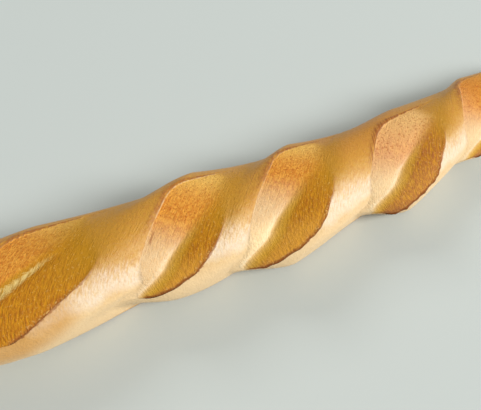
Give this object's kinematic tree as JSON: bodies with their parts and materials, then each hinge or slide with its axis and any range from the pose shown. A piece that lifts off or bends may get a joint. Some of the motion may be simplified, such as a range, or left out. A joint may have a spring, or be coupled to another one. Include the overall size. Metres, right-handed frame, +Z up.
{
  "type": "baguette",
  "caption": "Long, slightly bowed crusty loaf with oblique slashes that opened into torn, leaf-shaped hollows along its top.",
  "frame": {"origin": "on the flat underside, under the middle of the loaf's outline seen from above", "axes": "+X along the loaf towards its slimmer end, +Z up, -Y towards the side that shows in the picture"},
  "size_m": [0.53, 0.0772, 0.0476],
  "materials": {
    "crust": "satin"
  },
  "bodies": {
    "root": {"baguette": "crust"}
  },
  "joints": []
}
